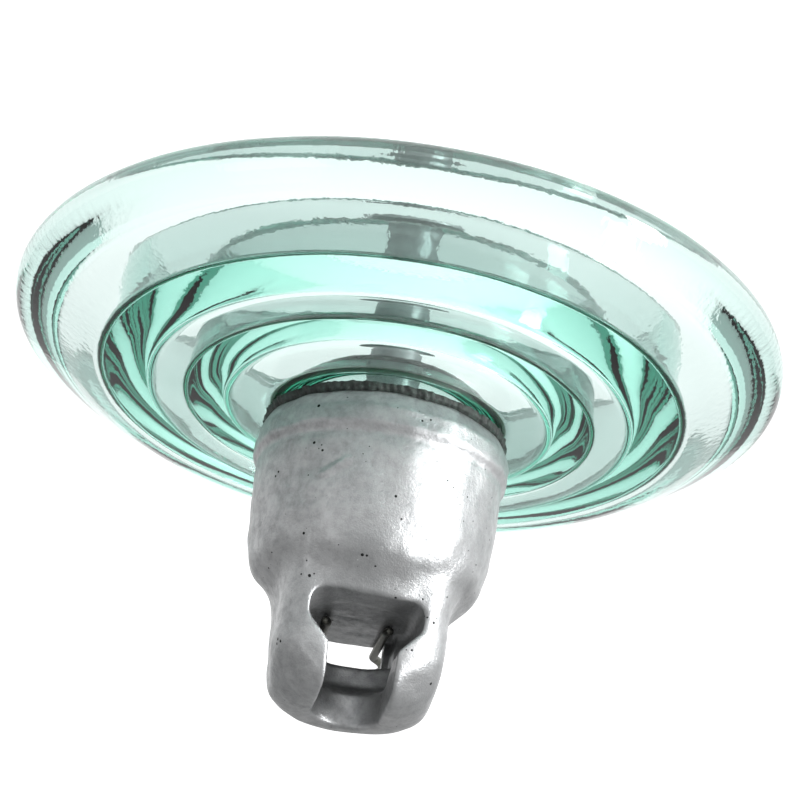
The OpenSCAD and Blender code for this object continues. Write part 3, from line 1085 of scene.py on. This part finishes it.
@dataclass(frozen=True)
class Studio:
    """Camera, light table, room and softboxes. Angles are in degrees and lengths without _mm in metres."""

    distance: float = 0.650
    elevation: float = 26.4
    yaw: float = 6.0
    roll: float = 188.18
    sensor_mm: float = 36.0
    lens_mm: float = 87.3315
    aim_mm: tuple[float, float] = (-0.18225, -1.77075)
    floor_drop_mm: float = 300.0
    floor_half_mm: float = 9000.0
    floor_glow: float = 0.75
    shade_at: tuple[float, float] = (0.95, -0.25)
    shade_reach: tuple[float, float] = (0.25, 0.75)
    shade_glow: float = 0.25
    sky: float = 0.55
    horizon: float = 0.6
    sky_rise: tuple[float, float] = (0.1, 0.75)
    softboxes: tuple[Softbox, ...] = (
        Softbox("key", (-0.75, -0.55, 0.05), (0.16, 0.9), 20.0),
        Softbox("fill", (0.75, -0.7, 0.5), (0.5, 0.6), 1.0))

    def camera(self) -> None:
        """Sets up the camera: it circles the rim's centre, then turns so that the centre lies off its axis.

        The basis starts from the line of sight, is rolled, and is then turned by the smallest rotation
        that takes the centre of view to the ray through the aim point on the sensor.
        """
        lift, roll = math.radians(self.elevation), math.radians(self.roll)
        away = np.array([0, -math.cos(lift), math.sin(lift)])
        forward = -away
        right = np.cross(forward, [0, 0, 1])
        right /= np.linalg.norm(right)
        up = np.cross(right, forward)
        right, up = (math.cos(roll) * right + math.sin(roll) * up,
                     -math.sin(roll) * right + math.cos(roll) * up)
        aim = np.array([*self.aim_mm, self.lens_mm])
        aim /= np.linalg.norm(aim)
        v, c = np.cross([0, 0, 1], aim), aim[2]
        skew = np.array([[0, -v[2], v[1]], [v[2], 0, -v[0]], [-v[1], v[0], 0]])
        turn = np.eye(3) + skew + skew @ skew / (1 + c)
        rows = turn @ np.array([right, -up, forward])
        a = math.radians(self.yaw)
        spin = np.array([[math.cos(a), -math.sin(a), 0], [math.sin(a), math.cos(a), 0], [0, 0, 1]])
        rows = rows @ spin.T
        place = spin @ (away * self.distance) + (0, 0, DATUM.rim * MM)
        lens = bpy.data.cameras.new("camera")
        lens.sensor_width, lens.lens = self.sensor_mm, self.lens_mm
        lens.clip_start = 0.01
        made = bpy.data.objects.new("camera", lens)
        bpy.context.scene.collection.objects.link(made)
        axes = np.stack([rows[0], -rows[1], -rows[2], place], 1)
        made.matrix_world = Matrix([*axes.tolist(), [0, 0, 0, 1]])
        bpy.context.scene.camera = made

    def floor(self) -> None:
        """A wide opal light table, far enough down that the hanging insulator throws no hard shadow."""
        z, half = DATUM.ball_low - self.floor_drop_mm, self.floor_half_mm
        corners = np.array([[-half, -half, z], [half, -half, z], [half, half, z], [-half, half, z]])
        made = put_mesh("floor", corners, [[0, 1, 2, 3]])
        recipe = Recipe("opal_acrylic_light_table")
        reach = recipe.add("ShaderNodeVectorMath", {0: recipe.place(), 1: (*self.shade_at, z * MM)},
                           operation="DISTANCE")
        glow = recipe.spread(reach.outputs["Value"], self.shade_reach, (self.shade_glow, self.floor_glow),
                             interpolation_type="SMOOTHSTEP")
        made.data.materials.append(recipe.close({
            "Base Color": linear("e9eaea"), "Roughness": 0.9, "Emission Color": linear("ffffff"),
            "Emission Strength": glow}))

    def room(self) -> None:
        """A white room, a little brighter at the horizon than overhead."""
        world = bpy.data.worlds.new("white_room")
        bpy.context.scene.world = world
        world.use_nodes = True
        tree = world.node_tree
        back = tree.nodes["Background"]
        place = tree.nodes.new("ShaderNodeTexCoord")
        split = tree.nodes.new("ShaderNodeSeparateXYZ")
        fade = tree.nodes.new("ShaderNodeMapRange")
        fade.interpolation_type = "SMOOTHSTEP"
        values = (*self.sky_rise, self.horizon, self.sky)
        for name, value in zip(("From Min", "From Max", "To Min", "To Max"), values):
            fade.inputs[name].default_value = value
        tree.links.new(place.outputs["Generated"], split.inputs[0])
        tree.links.new(split.outputs["Z"], fade.inputs["Value"])
        tree.links.new(fade.outputs[0], back.inputs["Strength"])
        back.inputs["Color"].default_value = linear("ffffff")

    def build(self) -> None:
        """Sets up the whole studio."""
        self.camera()
        self.floor()
        for softbox in self.softboxes:
            softbox.build()
        self.room()
        bpy.context.scene.view_settings.view_transform = "Standard"


def main() -> None:
    """Builds the insulator piece by piece, then the studio round it."""
    logging.basicConfig(level=logging.INFO, format="%(name)s: %(message)s")
    Studio().build()
    glass = GlassDisc()
    glass.build()
    packing = PinAndPacking()
    packing.pin()
    packing.cement(glass)
    packing.cushions()
    packing.seal()
    cap = CastCap()
    cap.build()
    cap_packing = CapPacking(cap, glass)
    cap_packing.cement()
    cap_packing.seal()
    LockingClip().build()


if __name__ == "__main__":
    main()
